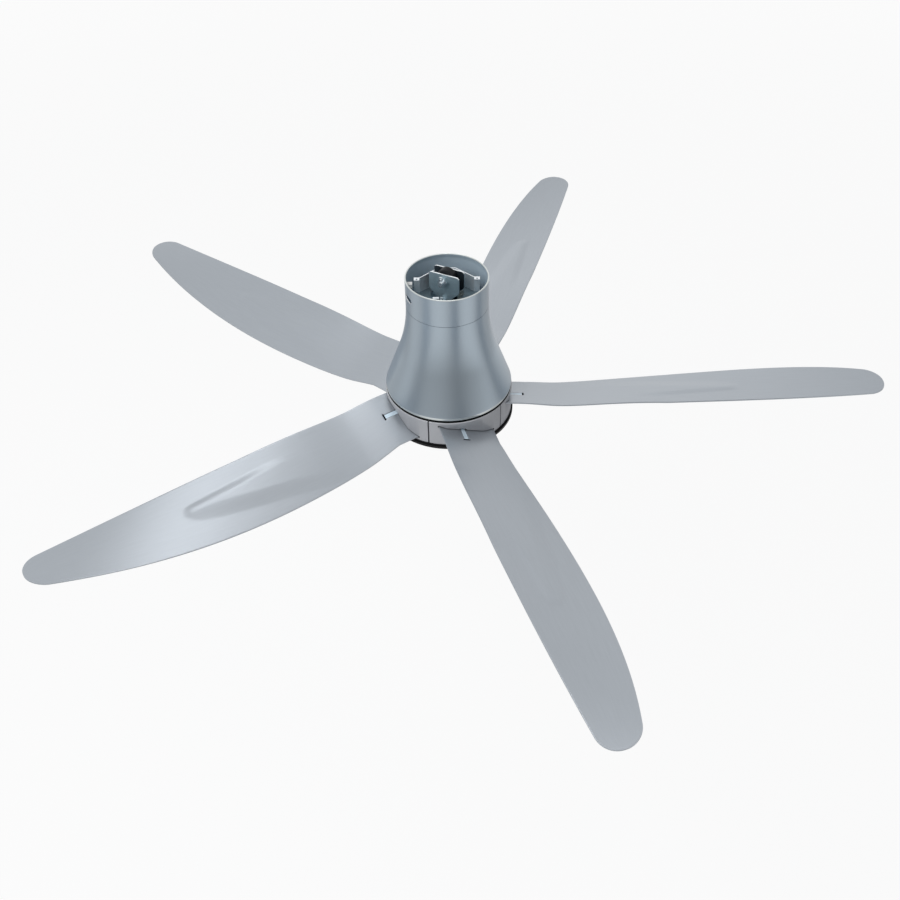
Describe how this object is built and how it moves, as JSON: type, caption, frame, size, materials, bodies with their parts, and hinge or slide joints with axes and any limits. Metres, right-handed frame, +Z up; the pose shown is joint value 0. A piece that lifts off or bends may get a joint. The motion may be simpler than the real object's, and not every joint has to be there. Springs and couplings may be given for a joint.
{
  "type": "ceiling fan",
  "caption": "Ceiling fan with a short flared body, twisted silver blades on a turning ring, a rubber hanger roller and an open canopy.",
  "frame": {"origin": "centre of the canopy rim, on the fan's axis, in the plane that meets the ceiling", "axes": "+Z up towards the ceiling along the fan's axis, X along the hanger plates, Y along the hanger bolts"},
  "size_m": [1.4209, 1.4045, 0.2911],
  "materials": {
    "silver_coat": "satin silver coat with a fine streaked sheen",
    "holder_grey": "moulded light grey, fine texture",
    "cover_paint": "satin metallic blue-grey paint",
    "base_black": "moulded black",
    "zinc_sheet": "zinc plated sheet",
    "bright_steel": "bright zinc plated",
    "roller_rubber": "moulded black rubber",
    "clip_white": "moulded white",
    "bearing_steel": "ground bearing steel",
    "die_cast": "die cast",
    "core_steel": "stacked sheet steel",
    "magnet_dark": "sintered",
    "winding_copper": "enamelled copper wire",
    "insulator_white": "moulded insulating plastic",
    "board_green": "circuit board",
    "part_black": "moulded black component",
    "sink_alloy": "extruded"
  },
  "bodies": {
    "fixed_frame": {"hanger_plate_front": "zinc_sheet", "hanger_plate_rear": "zinc_sheet", "hanger_bolts": "bright_steel", "hanger_nuts": "bright_steel", "split_pins": "bright_steel", "stem_pipe": "zinc_sheet", "canopy_bracket": "zinc_sheet", "bracket_standoffs": "bright_steel", "bracket_screws": "bright_steel", "canopy": "cover_paint", "canopy_clip": "clip_white", "motor_cover": "cover_paint", "cover_screws": "bright_steel", "chassis_plate": "zinc_sheet", "terminal_block": "insulator_white", "driver_board": "board_green", "board_standoffs": "bright_steel", "board_screws": "bright_steel", "heat_sink": "sink_alloy", "driver_transistors": "part_black", "capacitors": "part_black", "choke": "winding_copper", "motor_shaft": "bearing_steel", "shaft_pin": "bright_steel", "shaft_circlip": "bright_steel", "stator_hub": "die_cast", "stator_core": "core_steel", "stator_insulators": "insulator_white", "stator_windings": "winding_copper", "bearing_inner_races": "bearing_steel"},
    "rotor": {"rotor_upper_shell": "die_cast", "rotor_lower_shell": "die_cast", "rotor_shell_screws": "bright_steel", "rotor_back_iron": "core_steel", "rotor_magnets": "magnet_dark", "bearing_outer_races": "bearing_steel", "bearing_balls": "bearing_steel", "holder_screws": "bright_steel", "lock_pins": "bright_steel", "bottom_ring": "base_black", "bottom_cover": "base_black", "bottom_screws": "bright_steel", "blade_holder_1": "holder_grey", "blade_holder_2": "holder_grey", "blade_holder_3": "holder_grey", "blade_holder_4": "holder_grey", "blade_holder_5": "holder_grey", "blade_1": "silver_coat", "blade_2": "silver_coat", "blade_3": "silver_coat", "blade_4": "silver_coat", "blade_5": "silver_coat"},
    "roller": {"hanger_roller": "roller_rubber"},
    "lock_1": {"blade_lock_1": "bright_steel"},
    "lock_2": {"blade_lock_2": "bright_steel"},
    "lock_3": {"blade_lock_3": "bright_steel"},
    "lock_4": {"blade_lock_4": "bright_steel"},
    "lock_5": {"blade_lock_5": "bright_steel"}
  },
  "joints": [
    {"name": "fan_spin", "type": "hinge", "parent": "fixed_frame", "child": "rotor", "pos_m": [0, 0, -0.2421], "axis": [0, 0, 1], "continuous": true},
    {"name": "roller_turn", "type": "hinge", "parent": "fixed_frame", "child": "roller", "pos_m": [0, 0, -0.002], "axis": [0, 1, 0], "continuous": true},
    {"name": "lock_1_press", "type": "hinge", "parent": "rotor", "child": "lock_1", "pos_m": [0.09174, 0.03221, -0.24617], "axis": [-0.3741, 0.8696, -0.3223], "range_deg": [0, 6], "stiffness_Nm_per_rad": 0.4, "springref_deg": -8.59},
    {"name": "lock_2_press", "type": "hinge", "parent": "rotor", "child": "lock_2", "pos_m": [-0.00229, 0.0972, -0.24617], "axis": [-0.9426, -0.0871, -0.3223], "range_deg": [0, 6], "stiffness_Nm_per_rad": 0.4, "springref_deg": -8.59},
    {"name": "lock_3_press", "type": "hinge", "parent": "rotor", "child": "lock_3", "pos_m": [-0.09315, 0.02786, -0.24617], "axis": [-0.2084, -0.9234, -0.3223], "range_deg": [0, 6], "stiffness_Nm_per_rad": 0.4, "springref_deg": -8.59},
    {"name": "lock_4_press", "type": "hinge", "parent": "rotor", "child": "lock_4", "pos_m": [-0.05528, -0.07998, -0.24617], "axis": [0.8138, -0.4836, -0.3223], "range_deg": [0, 6], "stiffness_Nm_per_rad": 0.4, "springref_deg": -8.59},
    {"name": "lock_5_press", "type": "hinge", "parent": "rotor", "child": "lock_5", "pos_m": [0.05898, -0.07729, -0.24617], "axis": [0.7114, 0.6245, -0.3223], "range_deg": [0, 6], "stiffness_Nm_per_rad": 0.4, "springref_deg": -8.59}
  ]
}
